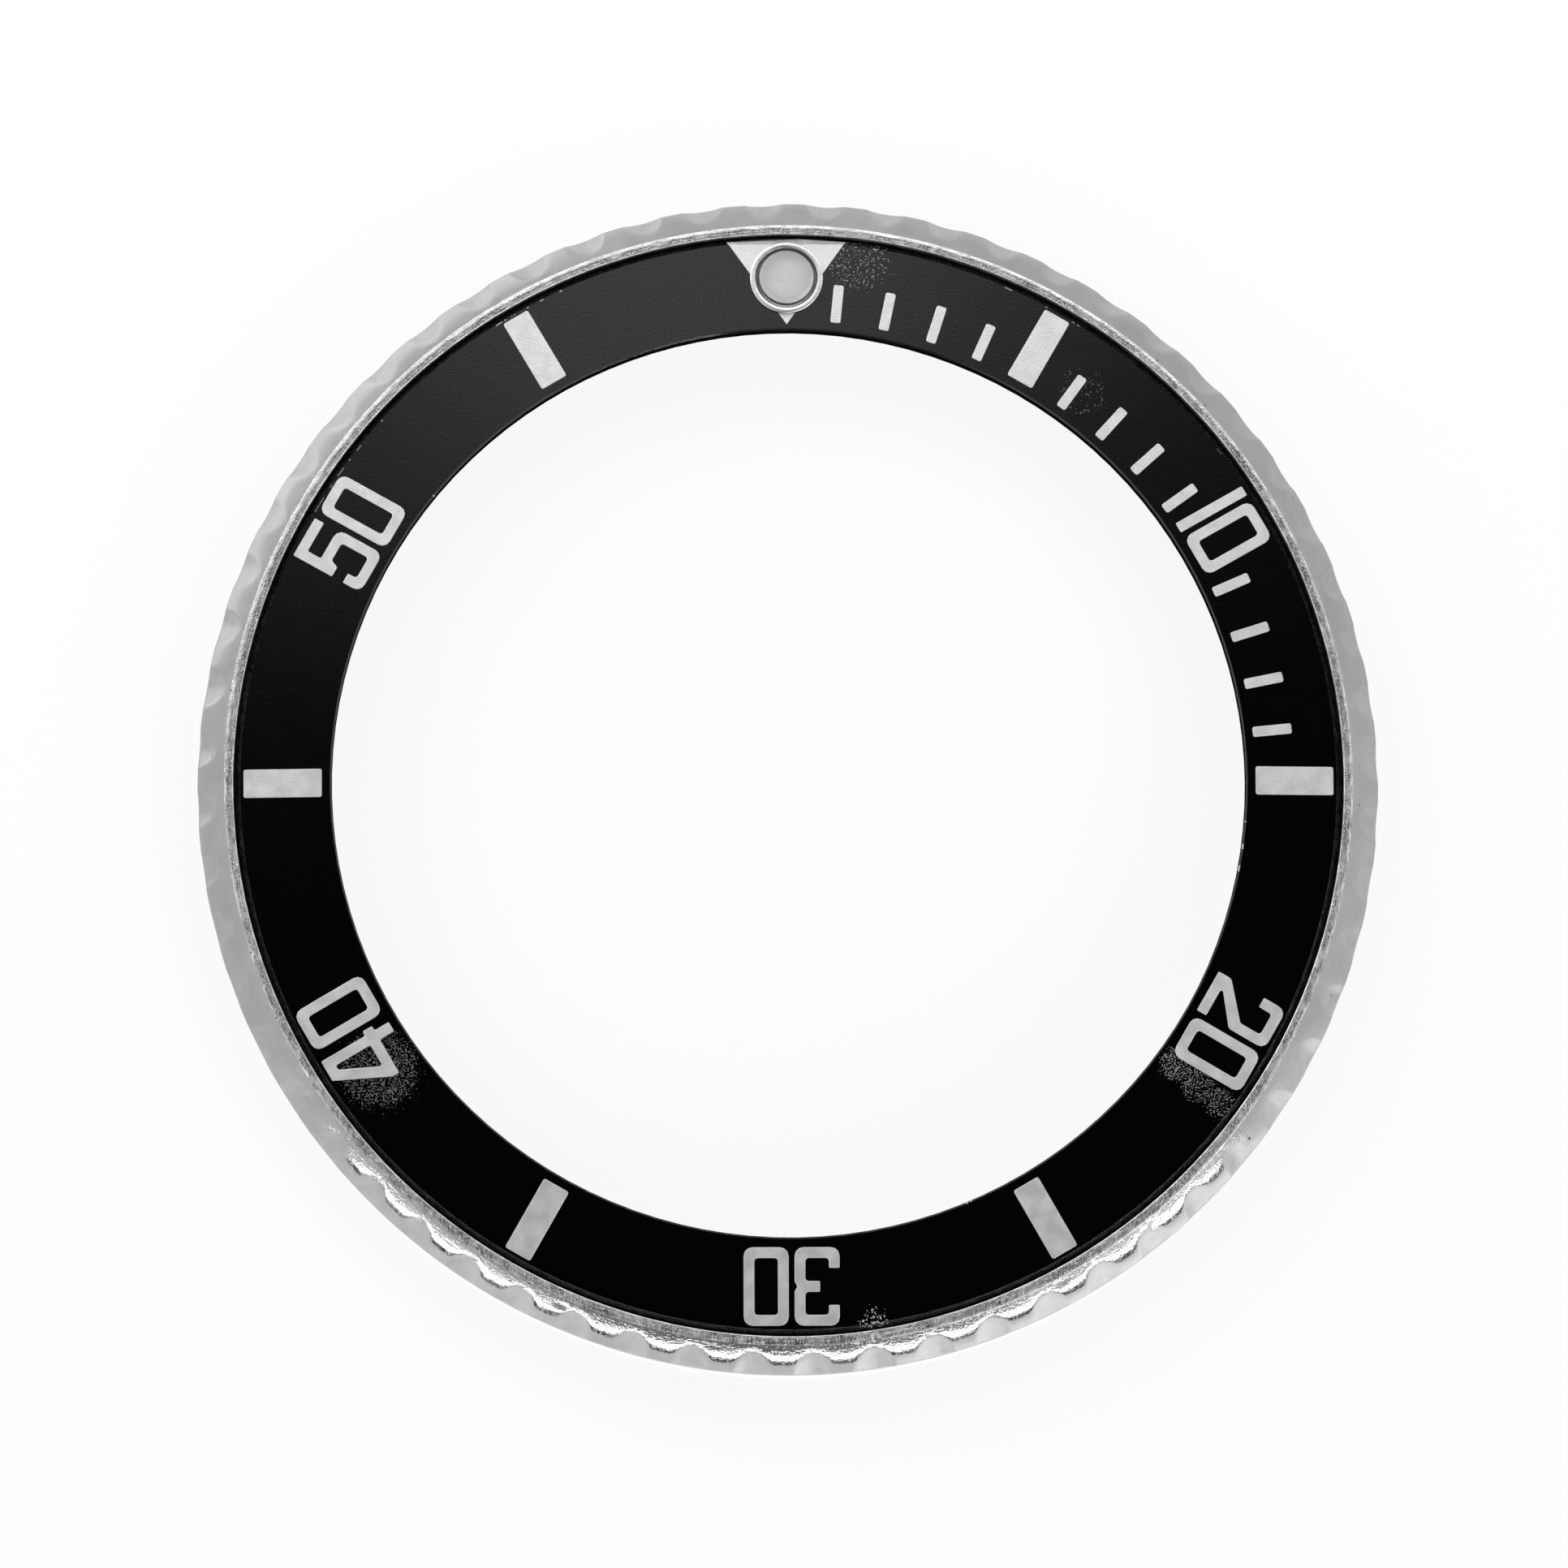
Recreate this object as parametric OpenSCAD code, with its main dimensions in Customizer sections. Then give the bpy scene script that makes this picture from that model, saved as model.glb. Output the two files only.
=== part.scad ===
// Rotating bezel and minute insert of a 40 mm diving watch, on its base ring.
// Millimetres. The origin is the centre of the face that seats on the watch case,
// +Z rises along the axis to the insert and +Y points at the 12 o'clock triangle.

/* [Insert] */
// Diameter of the hole in the insert
insert_bore_d = 30.8; // [29.8:0.1:32]
// Width of the insert, from its hole to its outer edge
insert_w = 3.22; // [3.2:0.02:3.7]
// Thickness of the insert
insert_t = 0.75; // [0.6:0.05:1]
// Height that the top gains from the outer edge to the hole
insert_rise = 0.3; // [0.1:0.05:0.6]
// Bevel on the edge of the insert's hole
hole_bevel = 0.06; // [0.03:0.01:0.12]
// Bevel on the insert's outer edge
edge_bevel = 0.14; // [0.06:0.01:0.2]
// Radial gap between the insert and the lip round it
insert_gap = 0.09; // [0.04:0.01:0.15]
// Thickness of the adhesive ring under the insert
adhesive_t = 0.08; // [0.04:0.01:0.15]

/* [Markings] */
// Minutes round the whole scale
scale_minutes = 60; // [60]
// Depth of the recess that each marking fills
marking_depth = 0.12; // [0.06:0.01:0.25]
// How far a marking lies below the top of the insert
marking_sink = 0.01; // [0.005:0.005:0.04]
// Bare margin between the hole and the numerals, bars and ticks
mark_margin = 0.32; // [0.25:0.01:0.38]
// Bare margin between a five minute bar and the outer bevel
bar_edge = 0.1; // [0.04:0.01:0.3]
// Width of a five minute bar
bar_w = 0.98; // [0.7:0.02:1.2]
// Length of a minute tick
tick_l = 1.35; // [1:0.01:1.6]
// Width of a minute tick
tick_w = 0.37; // [0.25:0.01:0.5]
// Corner radius of the bars and ticks
mark_corner = 0.08; // [0.03:0.01:0.1]
// Height of a digit
digit_h = 2.64; // [2.3:0.02:2.7]
// Width of a digit
digit_w = 1.53; // [1.4:0.01:1.6]
// Width of the line that a digit is drawn with
digit_stroke = 0.38; // [0.3:0.01:0.42]
// Gap between the two digits of a numeral
digit_gap = 0.18; // [0.12:0.01:0.3]
// Outer corner radius of a digit
digit_corner = 0.3; // [0.2:0.01:0.35]
// Width of the triangle across its top corners, which reach the insert's outer edge
triangle_w = 4.1; // [3.6:0.02:4.4]
// Bare margin between the tip of the triangle and the hole
triangle_margin = 0.17; // [0.1:0.01:0.3]

/* [Pearl] */
// Distance of the pearl's centre from the hole
pearl_inset = 1.8; // [1.7:0.02:1.9]
// Diameter of the cup's body, which passes through the insert
cup_d = 2.24; // [2.1:0.02:2.3]
// Diameter of the cup's rim, which lies on the insert
rim_d = 2.48; // [2.4:0.02:2.6]
// Height of the rim above the insert
rim_h = 0.12; // [0.08:0.01:0.2]
// Wall and floor of the cup
cup_wall = 0.12; // [0.1:0.01:0.16]
// Thickness of the luminous pellet
lume_t = 0.3; // [0.2:0.01:0.36]
// Rise of the clear dome above the rim
dome_rise = 0.24; // [0.15:0.01:0.4]
// Gap between the parts of the pearl and round them
pearl_gap = 0.01; // [0.005:0.005:0.02]

/* [Bezel ring] */
// Width of the flat top of the lip round the insert
lip_w = 0.39; // [0.2:0.01:0.45]
// Height of the lip above the insert's outer edge
lip_h = 0.17; // [0.1:0.01:0.25]
// How far the top of the lip falls towards its outer edge
lip_fall = 0.03; // [0:0.01:0.06]
// Small bevel on the lip's inner edge
lip_bevel = 0.04; // [0.02:0.01:0.06]
// Width of the 45 degree flank outside the lip
flank_w = 0.45; // [0.35:0.01:0.55]
// Slope of the wall below the flank, from the vertical
wall_angle = 32; // [28:1:36]
// Height of the sloping wall
wall_h = 0.64; // [0.5:0.02:0.8]
// Height of the bezel ring's underside above the seat face
bezel_lift = 0.25; // [0.15:0.01:0.35]
// Bevel on the bottom outer edge
foot_bevel = 0.15; // [0.08:0.01:0.25]
// Thickness of the web under the insert's outer edge
web_t = 0.87; // [0.75:0.01:1.1]

/* [Grip scallops] */
// Number of scallops round the rim
scallop_count = 60; // [48:12:72]
// Radius of the round cutter
scallop_r = 1.4; // [1.2:0.02:1.5]
// Depth of a scallop at the shoulder
scallop_depth = 0.135; // [0.1:0.005:0.16]
// Slope of a scallop's valley, from the vertical
scallop_angle = 30; // [28:0.5:34]
// Turn of the first scallop from the 12 o'clock line, clockwise in degrees
scallop_phase = 3.85; // [0:0.05:6]

/* [Base ring] */
// How far the base ring's bore lies outside the insert's hole
bore_step = 0.6; // [0.5:0.02:0.7]
// Wall of the neck that the bezel turns on
neck_t = 0.8; // [0.7:0.01:0.9]
// Thickness of the flange that seats on the case
flange_t = 0.45; // [0.35:0.01:0.6]
// Radial gap between the flange's rim and the bezel's skirt
flange_gap = 0.08; // [0.05:0.01:0.15]
// Height left free between the neck's top and the insert
neck_room = 0.06; // [0.04:0.01:0.12]
// Bevel at the mouth of the bore
bore_bevel = 0.12; // [0.05:0.01:0.2]

/* [Running parts] */
// Radial running clearance of the bezel on the neck
run_gap = 0.05; // [0.03:0.01:0.08]
// Radial width of the gasket
gasket_w = 0.5; // [0.4:0.01:0.55]
// Height of the gasket
gasket_h = 0.72; // [0.6:0.01:0.9]
// Clearance round the gasket
gasket_gap = 0.03; // [0.02:0.01:0.05]
// Diameter of the retaining wire
wire_d = 0.4; // [0.3:0.01:0.45]
// Clearance between the retaining wire and its grooves
wire_gap = 0.04; // [0.02:0.01:0.06]
// Opening between the retaining wire's ends, in degrees
wire_opening = 14; // [8:1:25]

/* [Click work] */
// Number of clicks in a full turn
click_count = 120; // [90:30:120]
// Radial depth of a ratchet tooth
tooth_depth = 0.25; // [0.2:0.01:0.28]
// Wall of the ratchet ring outside its teeth
ratchet_wall = 0.45; // [0.35:0.01:0.6]
// Height left free between the flange and the ratchet ring
ratchet_room = 0.15; // [0.08:0.01:0.25]
// Thickness of a click spring's arm
arm_t = 0.18; // [0.12:0.01:0.2]
// Height left free between an arm and the web over it
arm_headroom = 0.17; // [0.13:0.01:0.25]
// Teeth that an arm spans from its root to its nose
arm_teeth = 6; // [5:1:7]
// Space inside an arm for its travel
arm_room = 0.41; // [0.38:0.01:0.5]
// Clearance between an arm and the ratchet's tooth tips
arm_gap = 0.06; // [0.04:0.01:0.08]
// Clearance between a nose and the tooth that it rests in
nose_gap = 0.03; // [0.02:0.01:0.04]
// Clearance between an arm's root and its foot, and under the arm
root_gap = 0.03; // [0.02:0.01:0.05]
// Teeth that a spring's foot spans
foot_teeth = 3; // [2:1:4]
// Diameter of the pins that hold the feet
pin_d = 0.26; // [0.2:0.01:0.3]
// Height of a pin's head above its foot
pin_head = 0.05; // [0.03:0.01:0.08]

/* [Hidden] */
$fn = 180;

// Steps that round one corner of a marking
corner_steps = 3;
// Reach of a cutter past the surface that it opens
over = 0.5;

// Radii from the axis outwards
bore_r = insert_bore_d / 2 + bore_step;
neck_r = bore_r + neck_t;
bezel_bore_r = neck_r + run_gap;
gasket_in_r = neck_r + gasket_gap;
gasket_out_r = gasket_in_r + gasket_w;
arm_in_r = gasket_out_r + arm_room;
arm_out_r = arm_in_r + arm_t;
tooth_tip_r = arm_out_r + arm_gap;
tooth_root_r = tooth_tip_r + tooth_depth;
ratchet_r = tooth_root_r + ratchet_wall;
flange_r = ratchet_r - flange_gap;
insert_in_r = insert_bore_d / 2;
insert_out_r = insert_in_r + insert_w;
recess_r = insert_out_r + insert_gap;
lip_out_r = recess_r + lip_w;
shoulder_r = lip_out_r + flank_w;
bezel_r = shoulder_r + wall_h * tan(wall_angle);

// Heights from the seat face upwards
web_z = flange_t + gasket_h + gasket_gap;
seat_z = web_z + web_t;
insert_under_z = seat_z + adhesive_t;
insert_edge_z = insert_under_z + insert_t;
lip_z = insert_edge_z + lip_h;
shoulder_z = lip_z - lip_fall - flank_w;
band_z = shoulder_z - wall_h;
neck_z = insert_under_z - neck_room;
arm_z = flange_t + root_gap;
arm_h = web_z - arm_headroom - arm_z;
ratchet_z = flange_t + ratchet_room;
ratchet_h = web_z - ratchet_z;

// The cone of the insert: its slope, and its top at a radius
slope = insert_rise / insert_w;
slope_angle = atan(slope);
function top_z(r) = insert_edge_z + slope * (insert_out_r - r);
function under_z(r) = top_z(r) - insert_t;
function seat_at(r) = under_z(r) - adhesive_t;

// The retaining wire lies half in the neck and half in the bezel
wire_r = neck_r + run_gap / 2;
wire_z = (web_z + seat_at(bezel_bore_r)) / 2;
groove_h = wire_d + 2 * wire_gap;

// The ratchet: a tooth's step, and the part of it that the steep face takes
tooth_step = 360 / click_count;
steep_share = 0.08;
steep = tooth_step * steep_share;

// The springs start and end at whole teeth, so each nose meets a valley at every click
SPRINGS = 3;
first_tooth = 10;
arm_span = arm_teeth * tooth_step;
foot_span = foot_teeth * tooth_step;
function spring_angle(i) = (first_tooth + round(i * click_count / SPRINGS)) * tooth_step;
foot_in_r = gasket_out_r + gasket_gap;
pin_r = (foot_in_r + arm_out_r) / 2;
pin_gap = 0.01;
root_angle = root_gap / arm_out_r * 180 / PI;

// The pearl: its place, and heights in its own tilted frame
pearl_r = insert_in_r + pearl_inset;
cup_floor_z = -insert_t + 0.04;
lume_z = cup_floor_z + cup_wall + pearl_gap;
dome_z = lume_z + lume_t + pearl_gap;
dome_r = cup_d / 2 - cup_wall - pearl_gap;
dome_ball_r = (dome_r * dome_r + dome_rise * dome_rise) / (2 * dome_rise);

// Markings on the cone
minute_step = 360 / scale_minutes;
mark_in_r = insert_in_r + mark_margin;
flat_out_r = insert_out_r - edge_bevel;
digit_inner = 0.1;
digit_end = 0.05;
triangle_tip_r = insert_in_r + triangle_margin;
triangle_corner_y = sqrt(insert_out_r * insert_out_r - triangle_w * triangle_w / 4);

// Outlines with rounded corners

function unit(v) = v / norm(v);

// Points of the arc that rounds corner p, between its neighbours a and b
function corner_arc(a, p, b, r) =
    let (
        u = unit([a.x - p.x, a.y - p.y]),
        v = unit([b.x - p.x, b.y - p.y]),
        half = acos(u * v) / 2,
        centre = [p.x, p.y] + unit(u + v) * r / sin(half),
        from = [p.x, p.y] + u * r / tan(half) - centre,
        to = [p.x, p.y] + v * r / tan(half) - centre,
        start = atan2(from.y, from.x),
        turn = atan2(to.y, to.x) - start,
        sweep = turn > 180 ? turn - 360 : turn < -180 ? turn + 360 : turn
    )
    [for (i = [0 : corner_steps])
        centre + r * [cos(start + sweep * i / corner_steps), sin(start + sweep * i / corner_steps)]];

// An outline from corners, each given as x, y and its radius
function rounded(corners) =
    let (n = len(corners))
    [for (i = [0 : n - 1])
        each corner_arc(corners[(i + n - 1) % n], corners[i], corners[(i + 1) % n], corners[i][2])];

// A box outline, with its lower left corner at x, y
function box_corners(x, y, w, h, r) =
    [[x, y, r], [x + w, y, r], [x + w, y + h, r], [x, y + h, r]];

// Digits: corners in order round each outline, from the lower left of the digit

function one() = box_corners(0, 0, digit_stroke, digit_h, digit_end);

function two() =
    let (w = digit_w, h = digit_h, s = digit_stroke, i = digit_inner, e = digit_end,
        hook = h / 3, bend_out = 0.47 * h, bend_in = 0.57 * h, foot = 0.19 * h)
    [[0, 0, e], [w, 0, e], [w, s, e], [s * 1.15, s, e], [w, bend_out, 2 * i],
        [w, h, digit_corner], [0, h, digit_corner], [0, h - hook, e], [s, h - hook, e],
        [s, h - s, i], [w - s, h - s, i], [w - s, bend_in, i], [0, foot, 2 * i]];

function three() =
    let (w = digit_w, h = digit_h, s = digit_stroke, i = digit_inner, e = digit_end,
        hook = 0.27 * h, arm = 0.43 * w, waist = 0.06 * h, nick = 0.06 * w)
    [[0, 0, digit_corner], [w, 0, digit_corner], [w, h / 2 - waist, e],
        [w - nick, h / 2, e], [w, h / 2 + waist, e], [w, h, digit_corner],
        [0, h, digit_corner], [0, h - hook, e], [s, h - hook, e], [s, h - s, i],
        [w - s, h - s, i], [w - s, (h + s) / 2, i], [arm, (h + s) / 2, e],
        [arm, (h - s) / 2, e], [w - s, (h - s) / 2, i], [w - s, s, i], [s, s, i],
        [s, hook, e], [0, hook, e]];

// The four is drawn wider than the rest, by its crossbar's overhang
four_w = 1.2 * digit_w;
four_stem = 0.7 * four_w;
four_bar = 0.21 * digit_h;

function four() =
    let (w = four_w, h = digit_h, s = digit_stroke, e = digit_end,
        x = four_stem, y = four_bar, apex = 0.49 * four_w)
    [[x, 0, e], [x + s, 0, e], [x + s, y, e], [w, y, e], [w, y + s, e], [x + s, y + s, e],
        [x + s, h, e], [apex, h, e], [0, y + 0.7 * s, e], [0, y, e], [x, y, e]];

function four_hole() =
    let (x = four_stem, low = four_bar + digit_stroke, high = digit_h - digit_stroke, e = digit_end)
    [[0.27 * four_w, low, e], [x, low, e], [x, high, e], [0.62 * four_w, high, e]];

function five() =
    let (w = digit_w, h = digit_h, s = digit_stroke, i = digit_inner, e = digit_end,
        hook = 0.27 * h, bowl = 0.67 * h, stem = 0.42 * h)
    [[0, 0, digit_corner], [w, 0, digit_corner], [w, bowl, digit_corner], [s, bowl, e],
        [s, h - s, e], [w - e, h - s, e], [w - e, h, e], [0, h, e], [0, stem, e],
        [s, stem, e], [1.3 * s, bowl - s, i], [w - s, bowl - s, i], [w - s, s, i], [s, s, i],
        [s, hook, e], [0, hook, e]];

module zero() {
    s = digit_stroke;
    difference() {
        polygon(rounded(box_corners(0, 0, digit_w, digit_h, digit_corner)));
        polygon(rounded(box_corners(s, s, digit_w - 2 * s, digit_h - 2 * s, digit_inner)));
    }
}

module first_digit(tens) {
    if (tens == 1) polygon(rounded(one()));
    if (tens == 2) polygon(rounded(two()));
    if (tens == 3) polygon(rounded(three()));
    if (tens == 4)
        difference() {
            polygon(rounded(four()));
            polygon(rounded(four_hole()));
        }
    if (tens == 5) polygon(rounded(five()));
}

function first_width(tens) = tens == 1 ? digit_stroke : tens == 4 ? four_w : digit_w;

// The outline of each kind of marking, turned to its minute

module at_minute(minute) {
    rotate([0, 0, -minute * minute_step]) children();
}

module numeral_outline(minute) {
    tens = minute / 10;
    shift = tens == 1 ? (digit_w - digit_stroke) / 2 : 0;
    at_minute(minute)
        translate([-shift, mark_in_r]) {
            translate([-digit_gap / 2 - first_width(tens), 0]) first_digit(tens);
            translate([digit_gap / 2, 0]) zero();
        }
}

module bar_outline(minute) {
    at_minute(minute)
        polygon(rounded(box_corners(-bar_w / 2, mark_in_r,
            bar_w, flat_out_r - bar_edge - mark_in_r, mark_corner)));
}

module ticks_outline(first, last) {
    for (minute = [first : last])
        at_minute(minute)
            polygon(rounded(box_corners(-tick_w / 2, mark_in_r, tick_w, tick_l, mark_corner)));
}

// The triangle's sides run on outwards to its top, which is cut round at a radius
module triangle_outline(top_r) {
    far = insert_out_r + over;
    half = triangle_w / 2 * (far - triangle_tip_r) / (triangle_corner_y - triangle_tip_r);
    intersection() {
        polygon([[0, triangle_tip_r], [half, far], [-half, far]]);
        circle(r = top_r);
    }
}

module marking_prism() {
    linear_extrude(height = top_z(0) + over) children();
}

// The recess of one marking, whose floor follows the insert's cone
module recess() {
    in_r = insert_in_r - over;
    out_r = insert_out_r + over;
    intersection() {
        marking_prism() children();
        rotate_extrude()
            polygon([[in_r, top_z(in_r) - marking_depth], [out_r, top_z(out_r) - marking_depth],
                [out_r, top_z(out_r) + over], [in_r, top_z(in_r) + over]]);
    }
}

// The filling of one marking, which follows the insert's top and its outer bevel
module filling() {
    in_r = insert_in_r - over;
    end_r = flat_out_r + marking_depth - marking_sink;
    color("gainsboro")
        intersection() {
            marking_prism() children();
            rotate_extrude()
                polygon([[in_r, top_z(in_r) - marking_depth], [end_r, top_z(end_r) - marking_depth],
                    [flat_out_r, top_z(flat_out_r) - marking_sink],
                    [in_r, top_z(in_r) - marking_sink]]);
        }
}

// The pearl stands square to the cone
module at_pearl() {
    translate([0, pearl_r, top_z(pearl_r)]) rotate([-slope_angle, 0, 0]) children();
}

module pearl_hole() {
    at_pearl()
        translate([0, 0, -insert_t - over])
            cylinder(d = cup_d + 2 * pearl_gap, h = insert_t + 2 * over);
}

// Insert

module insert_plate() {
    color([0.06, 0.06, 0.065])
        difference() {
            rotate_extrude()
                polygon([
                    [insert_in_r, under_z(insert_in_r)],
                    [insert_out_r, under_z(insert_out_r)],
                    [insert_out_r, insert_edge_z - edge_bevel],
                    [flat_out_r, top_z(flat_out_r)],
                    [insert_in_r + hole_bevel, top_z(insert_in_r + hole_bevel)],
                    [insert_in_r, top_z(insert_in_r) - hole_bevel]
                ]);
            recess() triangle_outline(insert_out_r + over);
            for (minute = [10 : 10 : 50]) recess() numeral_outline(minute);
            for (minute = [5 : 10 : 55]) recess() bar_outline(minute);
            for (first = [1, 6, 11]) recess() ticks_outline(first, first + 3);
            pearl_hole();
        }
}

module insert_adhesive() {
    in_r = bezel_bore_r + adhesive_t;
    out_r = insert_out_r - adhesive_t;
    color([0.85, 0.83, 0.75])
        rotate_extrude()
            polygon([[in_r, seat_at(in_r)], [out_r, seat_at(out_r)],
                [out_r, under_z(out_r)], [in_r, under_z(in_r)]]);
}

module marker_triangle() {
    difference() {
        filling() triangle_outline(insert_out_r - marking_sink);
        pearl_hole();
    }
}

// Pearl: a turned cup, a luminous pellet and a clear dome

module pearl_cup() {
    rim_z = pearl_gap;
    color("silver")
        at_pearl()
            difference() {
                union() {
                    translate([0, 0, cup_floor_z]) cylinder(d = cup_d, h = rim_z - cup_floor_z + rim_h / 2);
                    translate([0, 0, rim_z]) cylinder(d = rim_d, h = rim_h);
                }
                translate([0, 0, cup_floor_z + cup_wall]) cylinder(r = dome_r + pearl_gap, h = insert_t + over);
                translate([0, 0, rim_z + rim_h / 2])
                    cylinder(r1 = dome_r + pearl_gap, r2 = dome_r + pearl_gap + rim_h / 2, h = rim_h / 2);
            }
}

module pearl_lume() {
    color([0.93, 0.95, 0.88])
        at_pearl()
            translate([0, 0, lume_z]) cylinder(r = dome_r, h = lume_t);
}

module pearl_dome() {
    top = rim_h + dome_rise;
    color([0.85, 0.9, 0.95, 0.6])
        at_pearl()
            intersection() {
                translate([0, 0, dome_z]) cylinder(r = dome_r, h = top - dome_z);
                translate([0, 0, top - dome_ball_r]) sphere(r = dome_ball_r);
            }
}

// Bezel ring: a lip round the insert, a web under it and a scalloped skirt

module scallop() {
    translate([shoulder_r - scallop_depth, 0, shoulder_z])
        rotate([0, -scallop_angle, 0])
            translate([scallop_r, 0, 0])
                cylinder(r = scallop_r, h = 2 * lip_z, center = true);
}

module bezel_ring() {
    seat_in_z = seat_at(bezel_bore_r);
    color("lightgray")
        difference() {
            rotate_extrude()
                polygon([
                    [bezel_bore_r, web_z],
                    [ratchet_r, web_z],
                    [ratchet_r, bezel_lift],
                    [bezel_r - foot_bevel, bezel_lift],
                    [bezel_r, bezel_lift + foot_bevel],
                    [bezel_r, band_z],
                    [shoulder_r, shoulder_z],
                    [lip_out_r, lip_z - lip_fall],
                    [recess_r + lip_bevel, lip_z],
                    [recess_r, lip_z - lip_bevel],
                    [recess_r, seat_at(recess_r)],
                    [bezel_bore_r, seat_in_z]
                ]);
            for (i = [0 : scallop_count - 1])
                rotate([0, 0, 90 - scallop_phase + i * 360 / scallop_count]) scallop();
            translate([0, 0, wire_z - groove_h / 2])
                cylinder(r = wire_r + wire_d / 2 + wire_gap, h = groove_h);
        }
}

// Internal teeth: each valley has its steep face on the side of the next tip, so
// the ring slides over the springs one way, and is held the other way
module ratchet_ring() {
    teeth = [for (i = [0 : click_count - 1]) each [
        tooth_root_r * [cos(i * tooth_step - steep), sin(i * tooth_step - steep)],
        tooth_tip_r * [cos(i * tooth_step), sin(i * tooth_step)]
    ]];
    color("darkgray")
        translate([0, 0, ratchet_z])
            linear_extrude(height = ratchet_h)
                difference() {
                    circle(r = ratchet_r);
                    polygon(teeth);
                }
}

// Base ring: a flange on the case and a neck that the bezel turns on

module base_ring() {
    color("gray")
        difference() {
            rotate_extrude()
                polygon([
                    [bore_r + bore_bevel, 0],
                    [flange_r - foot_bevel, 0],
                    [flange_r, foot_bevel],
                    [flange_r, flange_t],
                    [neck_r, flange_t],
                    [neck_r, neck_z - bore_bevel],
                    [neck_r - bore_bevel, neck_z],
                    [bore_r, neck_z],
                    [bore_r, bore_bevel]
                ]);
            translate([0, 0, wire_z - groove_h / 2])
                difference() {
                    cylinder(r = neck_r + over, h = groove_h);
                    translate([0, 0, -over])
                        cylinder(r = wire_r - wire_d / 2 - wire_gap - run_gap, h = groove_h + 2 * over);
                }
            at_pins() translate([0, 0, -over]) cylinder(d = pin_d + 2 * pin_gap, h = flange_t + 2 * over);
        }
}

module retaining_wire() {
    color("dimgray")
        translate([0, 0, wire_z])
            rotate([0, 0, wire_opening / 2 - 90])
                rotate_extrude(angle = 360 - wire_opening)
                    translate([wire_r, 0]) circle(d = wire_d, $fn = 48);
}

module bezel_gasket() {
    color([0.15, 0.15, 0.16])
        translate([0, 0, flange_t])
            difference() {
                cylinder(r = gasket_out_r, h = gasket_h);
                translate([0, 0, -over]) cylinder(r = gasket_in_r, h = gasket_h + 2 * over);
            }
}

// Click springs: a foot pinned to the flange, and an arm that bends at its root

module at_spring(i) {
    rotate([0, 0, spring_angle(i)]) children();
}

module at_pins() {
    for (i = [0 : SPRINGS - 1])
        for (share = [0.25, 0.75])
            at_spring(i) rotate([0, 0, -share * foot_span]) translate([pin_r, 0, 0]) children();
}

module click_pins() {
    color("silver")
        at_pins() cylinder(d = pin_d, h = arm_z + arm_h + pin_head, $fn = 32);
}

module click_foot(i) {
    color("slategray")
        difference() {
            at_spring(i)
                translate([0, 0, flange_t])
                    rotate([0, 0, -foot_span])
                        rotate_extrude(angle = foot_span - root_angle)
                            translate([foot_in_r, 0]) square([arm_out_r - foot_in_r, arm_h + root_gap]);
            at_pins() cylinder(d = pin_d + 2 * pin_gap, h = insert_edge_z);
        }
}

module click_arm(i) {
    nose_r = tooth_root_r - nose_gap;
    nose_base_r = arm_out_r - arm_t / 2;
    nose = [
        [nose_base_r, -0.9 * tooth_step],
        [nose_base_r, -steep],
        [nose_r, -1.5 * steep]
    ];
    color("lightslategray")
        at_spring(i)
            translate([0, 0, arm_z]) {
                rotate_extrude(angle = arm_span)
                    translate([arm_in_r, 0]) square([arm_t, arm_h]);
                rotate([0, 0, arm_span])
                    linear_extrude(height = arm_h)
                        polygon([for (p = nose) p[0] * [cos(p[1]), sin(p[1])]]);
            }
}

base_ring();
retaining_wire();
bezel_gasket();
click_pins();
click_foot(0);  // click_foot_1
click_foot(1);  // click_foot_2
click_foot(2);  // click_foot_3
click_arm(0);  // click_arm_1
click_arm(1);  // click_arm_2
click_arm(2);  // click_arm_3
bezel_ring();
ratchet_ring();
insert_adhesive();
insert_plate();
marker_triangle();
pearl_cup();
pearl_lume();
pearl_dome();
filling() numeral_outline(10);  // numeral_10
filling() numeral_outline(20);  // numeral_20
filling() numeral_outline(30);  // numeral_30
filling() numeral_outline(40);  // numeral_40
filling() numeral_outline(50);  // numeral_50
filling() bar_outline(5);  // bar_05
filling() bar_outline(15);  // bar_15
filling() bar_outline(25);  // bar_25
filling() bar_outline(35);  // bar_35
filling() bar_outline(45);  // bar_45
filling() bar_outline(55);  // bar_55
filling() ticks_outline(1, 4);  // ticks_01_to_04
filling() ticks_outline(6, 9);  // ticks_06_to_09
filling() ticks_outline(11, 14);  // ticks_11_to_14
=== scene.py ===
import math

import bmesh
import bpy
from mathutils import Matrix, Vector, noise


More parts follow.
